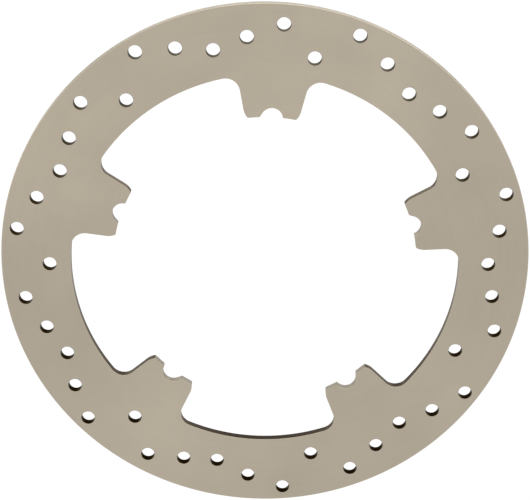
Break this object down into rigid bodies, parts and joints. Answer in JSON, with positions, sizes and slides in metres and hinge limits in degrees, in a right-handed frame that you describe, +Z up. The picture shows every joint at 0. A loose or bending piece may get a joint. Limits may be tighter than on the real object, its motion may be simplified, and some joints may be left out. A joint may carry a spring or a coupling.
{
  "type": "brake disc rotor",
  "caption": "Flat drilled stainless brake disc: a wide ring with inward tabs, each ending in a half-round notch for a drive pin on the wheel.",
  "frame": {"origin": "centre of the disc on the axle's axis, halfway through its thickness", "axes": "+Y along the axle, towards the wheel (inboard); -Y is the outboard face; +Z up through the centreline of one tab; +X to the right seen from outboard"},
  "size_m": [0.3, 0.0052, 0.3],
  "materials": {
    "ground_stainless": "fine ground, satin, with a faint warm tint"
  },
  "bodies": {
    "root": {"rotor_disc": "ground_stainless"}
  },
  "joints": []
}
